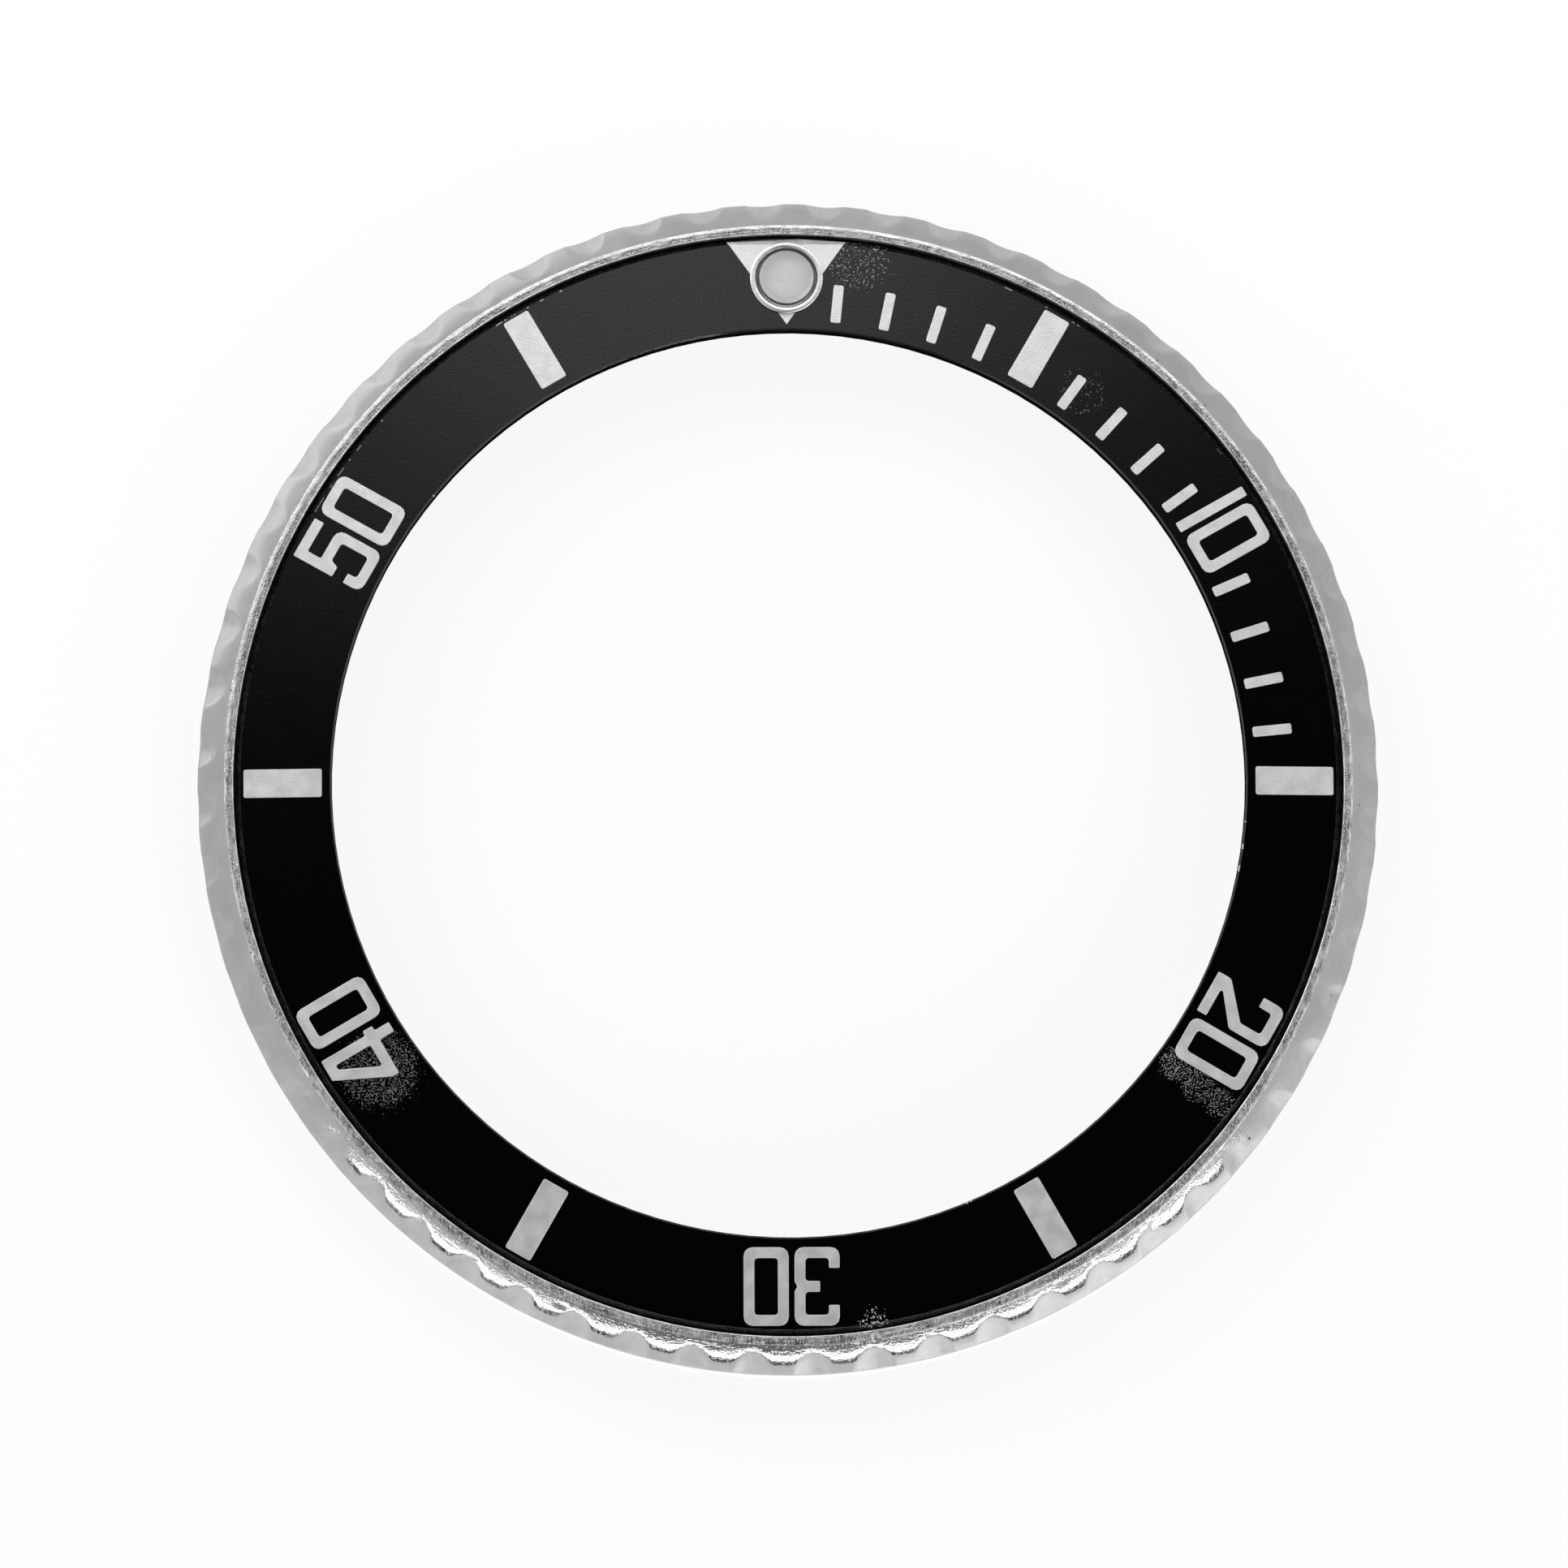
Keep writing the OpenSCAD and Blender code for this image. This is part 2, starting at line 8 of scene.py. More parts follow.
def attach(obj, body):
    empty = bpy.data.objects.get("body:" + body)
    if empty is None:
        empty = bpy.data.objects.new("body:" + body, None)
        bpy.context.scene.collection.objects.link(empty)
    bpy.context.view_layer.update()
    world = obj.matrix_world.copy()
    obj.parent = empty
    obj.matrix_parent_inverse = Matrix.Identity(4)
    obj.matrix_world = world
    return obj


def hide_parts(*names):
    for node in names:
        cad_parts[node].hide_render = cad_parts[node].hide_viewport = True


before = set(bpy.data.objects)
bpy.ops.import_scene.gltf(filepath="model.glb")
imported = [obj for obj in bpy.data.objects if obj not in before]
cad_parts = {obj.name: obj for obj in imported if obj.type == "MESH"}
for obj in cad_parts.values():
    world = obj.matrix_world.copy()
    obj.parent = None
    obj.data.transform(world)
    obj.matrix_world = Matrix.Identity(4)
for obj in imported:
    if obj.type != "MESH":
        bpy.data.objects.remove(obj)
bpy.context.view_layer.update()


# Camera. It stands 0.4 m over the bezel and leans about seven degrees towards
# 6 o'clock, with a long lens, so the lip shows on the far side and the scalloped
# wall on the near side.
MM = 0.001
look_at = Vector((0, 0, 2.9 * MM))
camera_distance = 0.4
lean, turn, roll = (math.radians(angle) for angle in (7.34, -9.3, -0.3))
towards = Vector((
    math.sin(lean) * math.sin(turn), -math.sin(lean) * math.cos(turn), math.cos(lean)))
level_up = (Vector((0, 1, 0)) - towards * towards.y).normalized()
level_right = level_up.cross(towards)
camera_right = math.cos(roll) * level_right + math.sin(roll) * level_up
camera_up = math.cos(roll) * level_up - math.sin(roll) * level_right
camera = bpy.data.objects.new("camera", bpy.data.cameras.new("camera"))
camera.matrix_world = Matrix.Translation(look_at + camera_distance * towards) @ Matrix(
    (camera_right, camera_up, towards)).transposed().to_4x4()
camera.data.lens = 272.5
camera.data.clip_start = 0.01
photo_width = 1932
camera.data.shift_x = -6.1 / photo_width
camera.data.shift_y = -1.8 / photo_width
scene = bpy.context.scene
scene.collection.objects.link(camera)
scene.camera = camera
scene.view_settings.view_transform = "Standard"


# Table. A sheet of white acrylic under the bezel, which keeps a faint shadow. The eye sees
# it nearly pure white. Polished faces see painted light on it, brightest in front and at
# two corners, and its gloss mirrors the two corner lamps.
def feed(tree, socket, value):
    """Links a socket to a node's output, or sets a plain number or colour on it."""
    if isinstance(value, bpy.types.NodeSocket):
        tree.links.new(value, socket)
    else:
        socket.default_value = value


def add(tree, kind, inputs=(), **settings):
    """Adds a shader node with its settings, and feeds its sockets by name or number."""
    node = tree.nodes.new("ShaderNode" + kind)
    for name, value in settings.items():
        setattr(node, name, value)
    for name, value in dict(inputs).items():
        feed(tree, node.inputs[name], value)
    return node


def calc(tree, operation, *values, clamp=False):
    """Adds a math node and gives its result."""
    return add(tree, "Math", enumerate(values), operation=operation, use_clamp=clamp).outputs[0]


def new_tree(owner):
    owner.use_nodes = True
    owner.node_tree.nodes.clear()
    return owner.node_tree


def new_object(name, mesh):
    piece = bpy.data.objects.new(name, mesh)
    scene.collection.objects.link(piece)
    return piece


table_half = 1.5
table_mesh = bpy.data.meshes.new("table")
table_mesh.from_pydata(
    [(x * table_half, y * table_half, 0) for x, y in ((-1, -1), (1, -1), (1, 1), (-1, 1))],
    [], [(0, 1, 2, 3)])
table = new_object("table", table_mesh)

acrylic = bpy.data.materials.new("white acrylic")
tree = new_tree(acrylic)
path = add(tree, "LightPath").outputs
# what the eye, metal and glass see of the table is mostly plain white
seen = calc(tree, "ADD", path["Is Camera Ray"], path["Is Glossy Ray"], clamp=True)
seen = calc(tree, "ADD", seen, path["Is Transmission Ray"], clamp=True)
ripple = add(tree, "TexNoise", {"Scale": 900.0, "Detail": 3.0}).outputs["Fac"]
uneven = add(tree, "Bump", {"Height": ripple, "Strength": 0.2, "Distance": 0.02 * MM})
matte = add(tree, "BsdfPrincipled", {
    "Base Color": (0.86, 0.86, 0.86, 1),
    "Roughness": 0.9,
    "Specular IOR Level": 0.1,
    "Normal": uneven.outputs[0],
})
# painted light: polished faces see the table glow all over, more in front, more at two corners
table_light, front_light, corner_light = 0.62, 0.52, 0.08
way = add(tree, "TexCoord").outputs["Object"]
way = add(tree, "VectorMath", {0: way, 1: (1, 1, 0)}, operation="MULTIPLY").outputs[0]
way = add(tree, "VectorMath", {0: way}, operation="NORMALIZE").outputs[0]
across, along = add(tree, "SeparateXYZ", {0: way}).outputs[:2]
corners = calc(tree, "MULTIPLY", calc(tree, "MULTIPLY", across, along), -2 * corner_light)
front = add(tree, "MapRange", {"Value": along, "From Min": -0.3, "From Max": -0.9}).outputs[0]
lit = calc(tree, "ADD", corners, calc(tree, "MULTIPLY_ADD", front, front_light, table_light - 1))
lit = calc(tree, "MULTIPLY_ADD", lit, path["Is Glossy Ray"], 1.0)
white = add(tree, "Emission", {"Color": (1, 1, 1, 1), "Strength": lit})
# the rest is the matte sheet, with the shadow on it
white_share = 0.85
mixed = add(tree, "MixShader", {
    0: calc(tree, "MULTIPLY", seen, white_share), 1: matte.outputs[0], 2: white.outputs[0]})
gloss = add(tree, "BsdfGlossy", {"Color": (0.28, 0.28, 0.28, 1), "Roughness": 0.2})
glazed = add(tree, "AddShader", {0: mixed.outputs[0], 1: gloss.outputs[0]})
add(tree, "OutputMaterial", {"Surface": glazed.outputs[0]})
table_mesh.materials.append(acrylic)


# Room and lamps. A pale room with a dark ceiling, which the black insert mirrors all round
# but near 12 o'clock. A lamp hangs behind, one stands in front, and two light the ends of
# the scallops. The flank mirrors a dark and a bright card on the table as two lines.
room = bpy.data.worlds.new("room")
scene.world = room
tree = new_tree(room)
wall_light = 0.92
sky = add(tree, "TexCoord").outputs["Generated"]


def leaning(way, start, end):
    """How far the view leans this way: 0 at the start, and 1 at the end and beyond."""
    share = add(tree, "VectorMath", {0: sky, 1: way}, operation="DOT_PRODUCT").outputs["Value"]
    return add(tree, "MapRange", {"Value": share, "From Min": start, "From Max": end}).outputs[0]


behind = calc(tree, "POWER", leaning((-0.174, 0.985, 0), -0.12, 0.353), 7.0)
beside = calc(tree, "MAXIMUM", leaning((1, 0, 0), 0.29, 0.55), leaning((-1, 0, 0), 0.27, 0.53))
# the wall in front is dim in the middle
dim = calc(tree, "MULTIPLY", leaning((0, -1, 0), 0.60, 0.74), 0.75)
before = calc(tree, "SUBTRACT", leaning((0, -1, 0), 0.38, 0.62), dim)
ceiling = calc(tree, "MAXIMUM", behind, calc(tree, "MAXIMUM", beside, before))
# below the table's edge the room is a plain wall
ceiling = calc(tree, "MAXIMUM", ceiling, leaning((0, 0, -1), -0.02, 0.0))
backdrop = add(tree, "Background", {
    "Color": (1, 1, 1, 1), "Strength": calc(tree, "MULTIPLY", ceiling, wall_light)})
add(tree, "OutputWorld", {"Surface": backdrop.outputs[0]})


def add_lamp(name, spot, size, brightness, mirrored=True):
    """Adds a box lamp that faces the bezel; brightness 1 looks as white as the table."""
    data = bpy.data.lights.new(name, "AREA")
    data.shape = "RECTANGLE"
    data.size, data.size_y = size
    data.energy = brightness * math.pi * size[0] * size[1]
    lamp = bpy.data.objects.new(name, data)
    lamp.location = spot
    lamp.rotation_euler = (Vector(spot) - look_at).to_track_quat("Z", "Y").to_euler()
    lamp.visible_camera = False
    lamp.visible_glossy = mirrored
    scene.collection.objects.link(lamp)


add_lamp("front lamp", (0.02, -0.40, 0.105), (0.50, 0.13), 2.6, mirrored=False)
add_lamp("back lamp", (0.03, 0.26, 0.30), (0.30, 0.16), 0.8)
add_lamp("left corner lamp", (-0.20, 0.20, 0.140), (0.28, 0.13), 2.0)
add_lamp("right corner lamp", (0.165, -0.235, 0.150), (0.28, 0.13), 2.1)


def add_card(name, outline, material):
    """Lays a card before the bezel that only polished faces mirror; the outline gives
    radius and height in millimetres."""
    steps, first_angle, sweep = 24, -142, 104
    edge = [math.radians(first_angle + sweep * i / steps) for i in range(steps + 1)]
    mesh = bpy.data.meshes.new(name)
    mesh.from_pydata(
        [(r * MM * math.cos(a), r * MM * math.sin(a), z * MM) for r, z in outline for a in edge],
        [],
        [(k + i, k + i + steps + 1, k + i + steps + 2, k + i + 1)
         for k in range(0, (len(outline) - 1) * (steps + 1), steps + 1) for i in range(steps)])
    mesh.materials.append(material)
    card = new_object(name, mesh)
    card.visible_camera = card.visible_diffuse = False
    card.visible_shadow = card.visible_transmission = False


def one_sided(tree, shader):
    """Shows a card's shader on its upper face and nothing on its lower one."""
    back = add(tree, "NewGeometry").outputs["Backfacing"]
    nothing = add(tree, "BsdfTransparent").outputs[0]
    shown = add(tree, "MixShader", {0: back, 1: shader.outputs[0], 2: nothing})
    add(tree, "OutputMaterial", {"Surface": shown.outputs[0]})


dark_felt = bpy.data.materials.new("dark card")
tree = new_tree(dark_felt)
one_sided(tree, add(tree, "BsdfDiffuse", {"Color": (0.02, 0.02, 0.02, 1)}))
bright_foil = bpy.data.materials.new("bright card")
tree = new_tree(bright_foil)
one_sided(tree, add(tree, "Emission", {"Color": (1, 1, 1, 1), "Strength": 6.0}))
dark_in_r, dark_out_r, bright_out_r = 32.0, 43.5, 420.0
add_card("dark_card", [(dark_in_r, 0.05), (dark_out_r, 0.05)], dark_felt)
add_card("bright_card", [(dark_out_r, 0.06), (bright_out_r, 0.06)], bright_foil)


# Base ring. The ring that is pressed on the watch case and that the bezel turns on. It is
# turned from a bar of stainless steel, so fine cutter lines run round every face of it.
def start_effect(name, inputs, outputs):
    """Starts a shader group; its sockets named Place, Around and Centre are vectors."""
    group = bpy.data.node_groups.new(name, "ShaderNodeTree")

    def add_socket(label, way):
        kind = "Vector" if label in ("Place", "Around", "Centre") else "Float"
        return group.interface.new_socket(label, in_out=way, socket_type="NodeSocket" + kind)

    for label, value in inputs.items():
        add_socket(label, "INPUT").default_value = value
    for label in outputs:
        add_socket(label, "OUTPUT")
    given = group.nodes.new("NodeGroupInput").outputs
    return group, given, group.nodes.new("NodeGroupOutput").inputs


def place(tree, effect, **values):
    """Puts a shader group in a material, with that material's own values."""
    return add(tree, "Group", values, node_tree=effect).outputs


# Where a point of the surface lies: in millimetres, its distance from the axis, and the
# direction from the axis to it
ring_place, given, out = start_effect("ring place", {}, ["Place", "Radius", "Around"])
spot = add(ring_place, "TexCoord").outputs["Object"]
spot = add(ring_place, "VectorMath", {0: spot, "Scale": 1 / MM}, operation="SCALE").outputs[0]
flat = add(ring_place, "VectorMath", {0: spot, 1: (1, 1, 0)}, operation="MULTIPLY").outputs[0]
away = add(ring_place, "VectorMath", {0: flat}, operation="LENGTH").outputs["Value"]
around = add(ring_place, "VectorMath", {0: flat}, operation="NORMALIZE").outputs[0]
feed(ring_place, out["Place"], spot)
feed(ring_place, out["Radius"], away)
feed(ring_place, out["Around"], around)

# Lines that a cutter or a brush leaves round the axis: so many to the millimetre, and of
# this length in millimetres where the rings are
middle_r = 18.0
turned_lines, given, out = start_effect(
    "turned lines", {"Lines": 8.0, "Length": 4.0}, ["Height", "Streaks"])
at = place(turned_lines, ring_place)
height = add(turned_lines, "SeparateXYZ", {0: at["Place"]}).outputs[2]
line = calc(turned_lines, "ADD", at["Radius"], height)
line = calc(turned_lines, "MULTIPLY", line, given["Lines"])
per_turn = calc(turned_lines, "DIVIDE", middle_r, given["Length"])
spin = add(turned_lines, "VectorMath", {0: at["Around"], "Scale": per_turn}, operation="SCALE")
furrows = add(turned_lines, "TexNoise", {
    "Vector": spin.outputs[0], "W": line, "Scale": 1.0, "Detail": 3.0, "Roughness": 0.6},
    noise_dimensions="4D").outputs["Fac"]
feed(turned_lines, out["Height"], furrows)
feed(turned_lines, out["Streaks"], add(turned_lines, "MapRange", {
    "Value": furrows, "From Min": 0.38, "From Max": 0.62}).outputs[0])

# Fine grain of this size in millimetres, and a cloudier mottle
grain, given, out = start_effect("grain", {"Size": 0.1}, ["Height", "Mottle"])
at = place(grain, ring_place)
fine = calc(grain, "DIVIDE", 1.0, given["Size"])
coarse = calc(grain, "MULTIPLY", fine, 0.12)
feed(grain, out["Height"], add(grain, "TexNoise", {
    "Vector": at["Place"], "Scale": fine, "Detail": 2.0, "Roughness": 0.55}).outputs["Fac"])
cloud = add(grain, "TexNoise", {
    "Vector": at["Place"], "Scale": coarse, "Detail": 3.0}).outputs["Fac"]
feed(grain, out["Mottle"], add(grain, "MapRange", {
    "Value": cloud, "From Min": 0.35, "From Max": 0.65}).outputs[0])


def blend(tree, share, low, high):
    """Mixes between two numbers by a mask."""
    return add(tree, "MapRange", {"Value": share, "To Min": low, "To Max": high}).outputs[0]


def bump(tree, height, depth, under=None):
    """A bump of this depth in millimetres, on top of another one if given."""
    inputs = {"Height": height, "Distance": depth * MM, "Strength": 1.0}
    if under is not None:
        inputs["Normal"] = under
    return add(tree, "Bump", inputs).outputs[0]


def grey(tree, value):
    """A grey from a number that changes over the surface."""
    return add(tree, "CombineColor", {0: value, 1: value, 2: value}).outputs[0]


def turned_metal(name, tone, shine, lines, length, depth):
    """A metal turned or brushed round the axis: its darkest and lightest grey, its least
    and greatest roughness, and the lines that the tool left."""
    metal = bpy.data.materials.new(name)
    tree = new_tree(metal)
    tool = place(tree, turned_lines, Lines=lines, Length=length)
    stain = place(tree, grain, Size=0.12)
    tint = calc(tree, "MULTIPLY", blend(tree, tool["Streaks"], *tone),
                blend(tree, stain["Mottle"], 0.93, 1.03))
    surface = add(tree, "BsdfPrincipled", {
        "Base Color": grey(tree, tint),
        "Metallic": 1.0,
        "Roughness": blend(tree, tool["Streaks"], *shine),
        "Normal": bump(tree, tool["Height"], depth, bump(tree, stain["Height"], depth * 0.25)),
    })
    add(tree, "OutputMaterial", {"Surface": surface.outputs[0]})
    return metal


def finish_nodes(material, *names):
    """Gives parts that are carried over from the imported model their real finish."""
    for name in names:
        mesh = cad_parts[name].data
        mesh.materials.clear()
        mesh.materials.append(material)


base_steel = turned_metal(
    "base steel", tone=(0.46, 0.56), shine=(0.24, 0.36), lines=14.0, length=9.0, depth=0.004)
finish_nodes(base_steel, "base_ring")


# Click springs and their pins. Three strips of hardened spring steel, each with a foot
# that two pins hold on the base ring, and an arm whose nose rides in the ratchet.
spring_steel = turned_metal(
    "spring steel", tone=(0.34, 0.44), shine=(0.22, 0.34), lines=22.0, length=3.0, depth=0.002)
finish_nodes(spring_steel, *(
    "click_%s_%d" % (part, i) for part in ("foot", "arm") for i in (1, 2, 3)))
pin_steel = turned_metal(
    "pin steel", tone=(0.5, 0.6), shine=(0.2, 0.3), lines=25.0, length=0.4, depth=0.001)
finish_nodes(pin_steel, "click_pins")


# Gasket and retaining wire. The gasket is a square ring of black nitrile rubber, moulded
# with a faint grain. The wire is drawn spring steel, open at 6 o'clock, and lies in the
# grooves of the neck and of the bezel.
rubber = bpy.data.materials.new("gasket rubber")
tree = new_tree(rubber)
skin = place(tree, grain, Size=0.05)
surface = add(tree, "BsdfPrincipled", {
    "Base Color": grey(tree, blend(tree, skin["Mottle"], 0.018, 0.035)),
    "Roughness": blend(tree, skin["Mottle"], 0.55, 0.75),
    "Normal": bump(tree, skin["Height"], 0.006),
})
add(tree, "OutputMaterial", {"Surface": surface.outputs[0]})
finish_nodes(rubber, "bezel_gasket")
wire_steel = turned_metal(
    "wire steel", tone=(0.4, 0.5), shine=(0.18, 0.28), lines=16.0, length=12.0, depth=0.001)
finish_nodes(wire_steel, "retaining_wire")


# Bezel ring. Turned from stainless steel: a narrow brushed lip round the insert, and a
# flank that years of wear have crowned, in which a round cutter has left sixty scallops.
# Their edges are rubbed round, and knocks have left nicks in the lip.
recess_r, lip_r, shoulder_r, wall_r = 18.71, 19.04, 19.55, 19.95
lip_top, shoulder_z, band_z, foot_z = 3.07, 2.59, 1.95, 0.25
ratchet_r, bezel_bore_r = 18.68, 16.85
web_z, seat_in_z, seat_out_z = 1.20, 2.235, 2.062
scallops = 60
first_scallop = 3.85
cutter_r, cutter_depth, cutter_lean = 1.4, 0.135, math.radians(30)
edge_round = 0.09


def arc(corner, before, after, radius, steps):
    """Points that round a corner of a profile."""
    corner, before, after = Vector(corner), Vector(before), Vector(after)
    u, v = (before - corner).normalized(), (after - corner).normalized()
    half = u.angle(v) / 2
    centre = corner + (u + v).normalized() * radius / math.sin(half)
    start = corner + u * radius / math.tan(half) - centre
    end = corner + v * radius / math.tan(half) - centre
    sweep = start.angle(end)
    points = []
    for i in range(steps + 1):
        share = i / steps
        spoke = start * math.sin((1 - share) * sweep) + end * math.sin(share * sweep)
        points.append(centre + spoke / math.sin(sweep))
    return points


def rounded(corners):
    """A closed profile from corners, each given as radius, height, rounding and steps."""
    points = []
    for i, (r, z, radius, steps) in enumerate(corners):
        before, after = corners[i - 1][:2], corners[(i + 1) % len(corners)][:2]
        points += arc((r, z), before, after, radius, steps) if radius else [Vector((r, z))]
    return points


def revolve(name, profile, columns):
    """Spins a closed profile round the axis. Each column gives a point's angle in radians,
    and its radius and height, which it may change."""
    rows, around = len(profile), len(columns)
    points = []
    for row, (r, z) in enumerate(profile):
        for column in columns:
            angle, pulled_r, pulled_z = column(row, r, z)
            points.append((pulled_r * MM * math.cos(angle), pulled_r * MM * math.sin(angle),
                           pulled_z * MM))
    faces = []
    for row in range(rows):
        above = (row + 1) % rows
        for i in range(around):
            after = (i + 1) % around
            faces.append((row * around + i, row * around + after,
                          above * around + after, above * around + i))
    mesh = bpy.data.meshes.new(name)
    mesh.from_pydata(points, [], faces)
    mesh.shade_smooth()
    return mesh


# the outside, from the foot up to the lip's inner edge, and then the hidden faces inside
skirt_in = 0.1
foot_r = wall_r - skirt_in
foot = arc((foot_r, foot_z + 0.15), (foot_r - 0.15, foot_z), (wall_r, band_z), 0.08, 3)
skirt_heights = [foot_z + 0.3 + 1.0 * i / 5 for i in range(6)]
skirt_heights += [1.58 + 0.29 * (i / 10) ** 1.2 for i in range(11)]
skirt = [Vector((wall_r - skirt_in * (band_z - z) / (band_z - foot_z), z)) for z in skirt_heights]
crown_foot, crown_head = Vector((wall_r, band_z)), Vector((lip_r, 3.045))
crown_rise = 0.06
chord = crown_head - crown_foot
crown_r = chord.length ** 2 / (8 * crown_rise) + crown_rise / 2
crown_half = math.asin(chord.length / 2 / crown_r)
crown_middle = math.atan2(-chord.x, chord.y)
crown_centre = (crown_foot + crown_head) / 2 - (crown_r - crown_rise) * Vector(
    (math.cos(crown_middle), math.sin(crown_middle)))


def on_crown(share):
    """A point of the crowned flank, from 0 at its foot to 1 at the lip."""
    angle = crown_middle + (2 * share - 1) * crown_half
    return crown_centre + crown_r * Vector((math.cos(angle), math.sin(angle)))


band = arc(crown_foot, skirt[0], on_crown(0.1), 0.2, 5)
flank = [on_crown(0.06 + 0.9 * i / 42) for i in range(43)]
lip_edge = arc(crown_head, on_crown(0.9), (lip_r - 0.1, 3.06), 0.14, 7)
# the lip is slightly domed, with a fine groove along its middle
lip_middle, groove_depth, groove_width = 18.855, 0.004, 0.035
lip_flat = []
for i in range(15):
    r = 18.96 - 0.19 * i / 14
    groove = groove_depth * math.exp(-((r - lip_middle) / groove_width) ** 2)
    lip_flat.append(Vector((r, 3.068 - 0.7 * (r - lip_middle) ** 2 - groove)))
lip_inner = arc((recess_r, lip_top), (lip_r, 3.05), (recess_r, 2.5), 0.045, 4)
outside = foot + skirt + band + flank + lip_edge + lip_flat + lip_inner
inside = [Vector(p) for p in (
    (recess_r, 2.5), (recess_r, seat_out_z + 0.01), (recess_r - 0.01, seat_out_z),
    (bezel_bore_r + 0.03, seat_in_z - 0.003), (bezel_bore_r, seat_in_z - 0.03),
    (bezel_bore_r, 1.98), (bezel_bore_r + 0.01, 1.96), (17.06, 1.96), (17.065, 1.95),
    (17.065, 1.49), (17.06, 1.48), (bezel_bore_r + 0.01, 1.48), (bezel_bore_r, 1.46),
    (bezel_bore_r, web_z + 0.03), (bezel_bore_r + 0.03, web_z),
    (ratchet_r - 0.01, web_z), (ratchet_r, web_z - 0.01),
    (ratchet_r, foot_z + 0.04), (ratchet_r + 0.04, foot_z),
    (foot_r - 0.17, foot_z), (foot_r - 0.155, foot_z + 0.001), (foot_r - 0.145, foot_z + 0.006))]
ring_profile = outside + inside


def cut_radius(offset, r, z):
    """How far from the axis a scallop's surface lies at this angle from its middle."""
    for _ in range(3):
        y = min(abs(r * math.sin(offset)), cutter_r * 0.999)
        deep = cutter_r - math.sqrt(cutter_r ** 2 - y * y)
        x = shoulder_r - cutter_depth + deep / math.cos(cutter_lean)
        x -= (z - shoulder_z) * math.tan(cutter_lean)
        r = math.hypot(x, y)
    return x / math.cos(offset)


def scallop_edge(r, z):
    """The angle from a scallop's middle at which it leaves the plain surface."""
    low, high = 0.0, math.pi / scallops
    if cut_radius(0.0, r, z) >= r:
        return 0.0
    for _ in range(30):
        middle = (low + high) / 2
        low, high = (middle, high) if cut_radius(middle, r, z) < r else (low, middle)
    return low


def softer(a, b, width):
    """The lesser of two numbers, with a rounded change from one to the other."""
    share = max(width - abs(a - b), 0.0) / width
    return min(a, b) - share * share * width / 4


# a scallop's columns crowd at its rounded edge, which is this wide to each side, in radians
half_step = math.pi / scallops
edge_width = 0.12 / wall_r
least_edge = 2 * edge_width
inner_shares = [i / 7 for i in range(7)]
edge_shares = [-1, -0.6, -0.3, 0, 0.3, 0.6, 1]
outer_shares = [0.3, 0.65]
cut_rows = [not any(p is q for q in inside) for p in ring_profile]
edge_angles = [max(scallop_edge(*p), least_edge) if cut else least_edge
               for p, cut in zip(ring_profile, cut_rows)]

# nicks and dents: clockwise angle from 12 in degrees, radius, width and depth in millimetres
nicks = [
    (171.5, 18.95, 0.20, 0.06), (170.2, 18.84, 0.13, 0.05), (173.0, 19.02, 0.16, 0.05),
    (175.4, 18.88, 0.11, 0.035), (168.3, 18.83, 0.12, 0.04), (166.6, 18.9, 0.1, 0.03),
    (41.8, 19.3, 0.2, 0.05), (43.0, 19.12, 0.14, 0.045), (238.9, 19.1, 0.18, 0.06),
    (236.8, 19.35, 0.24, 0.05), (329.0, 19.1, 0.13, 0.04), (211.0, 19.0, 0.12, 0.035),
    (203.5, 19.25, 0.15, 0.04), (152.0, 19.2, 0.2, 0.05), (141.0, 19.3, 0.22, 0.06),
    (128.5, 19.55, 0.2, 0.05), (188.0, 19.2, 0.13, 0.035), (182.4, 19.1, 0.12, 0.03),
    (95.6, 19.05, 0.1, 0.03), (300.0, 19.08, 0.1, 0.03), (14.0, 19.1, 0.1, 0.025),
    (352.3, 19.07, 0.1, 0.025), (262.0, 19.5, 0.16, 0.03), (80.0, 19.5, 0.2, 0.03),
]
nick_spots = []
for clockwise, r, width, depth in nicks:
    angle = math.radians(clockwise)
    nick_spots.append((Vector((r * math.sin(angle), r * math.cos(angle))), width, depth))

# above these heights the ring is rippled by wear, and may be nicked
rippled_z, nicked_z = 2.6, 2.2


def worn(angle, r, z):
    """Waves and nicks of the ring's worn outside, as a push towards the inside."""
    flat = Vector((r * math.cos(angle), r * math.sin(angle)))
    push = 0.004 * noise.noise(Vector((flat.x * 1.6, flat.y * 1.6, z * 3)))
    if z > rippled_z:
        ripple = noise.noise(Vector((flat.x * 5, flat.y * 5, z * 14)))
        push += 0.006 * ripple * min(1, (z - rippled_z) / 0.3)
    for spot, width, depth in nick_spots:
        away = (flat - spot).length / width
        if away < 1 and z > nicked_z:
            push += depth * (1 - away * away) ** 2
    return push


def ring_column(scallop, side, kind, share):
    """One column of the ring: which scallop, the side of the scallop's middle, whether it
    lies inside the scallop, at its edge or beyond, and how far along that stretch."""
    middle = math.radians(90 - first_scallop) - scallop * 2 * half_step

    def column(row, r, z):
        edge = edge_angles[row]
        if kind == "inner":
            offset = share * (edge - edge_width)
        elif kind == "edge":
            offset = edge + share * edge_width
        else:
            offset = edge + edge_width + share * (half_step - edge - edge_width)
        angle = middle + side * offset
        if not cut_rows[row]:
            return angle, r, z
        pulled = softer(r, cut_radius(offset, r, z), edge_round)
        push = worn(angle, pulled, z)
        # wear pushes the lip mostly down, and the flank mostly in
        inward = 0.3 if z > 3.0 else 0.8
        return angle, pulled - push * inward, z - push * (1 - inward) if z > rippled_z else z
    return column


